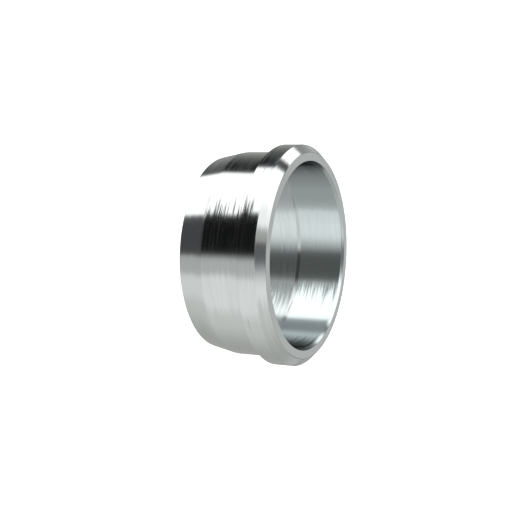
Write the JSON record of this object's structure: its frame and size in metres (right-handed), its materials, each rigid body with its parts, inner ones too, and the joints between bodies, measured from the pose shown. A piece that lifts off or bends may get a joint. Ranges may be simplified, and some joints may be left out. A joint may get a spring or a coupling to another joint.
{
  "type": "compression cutting ring",
  "caption": "Turned steel cutting ring with a tapered nose, a plain body, a raised collar with a chamfered back, and a stepped through bore that grips a tube.",
  "frame": {"origin": "centre of the nose's flat end face, on the surface that the ring stands on", "axes": "+Z along the tube axis, from the nose to the collar's back face"},
  "size_m": [0.022, 0.022, 0.0093],
  "materials": {
    "zinc_plated_steel": "bright zinc plating over fine turning lines"
  },
  "bodies": {
    "root": {"cutting_ring": "zinc_plated_steel"}
  },
  "joints": []
}
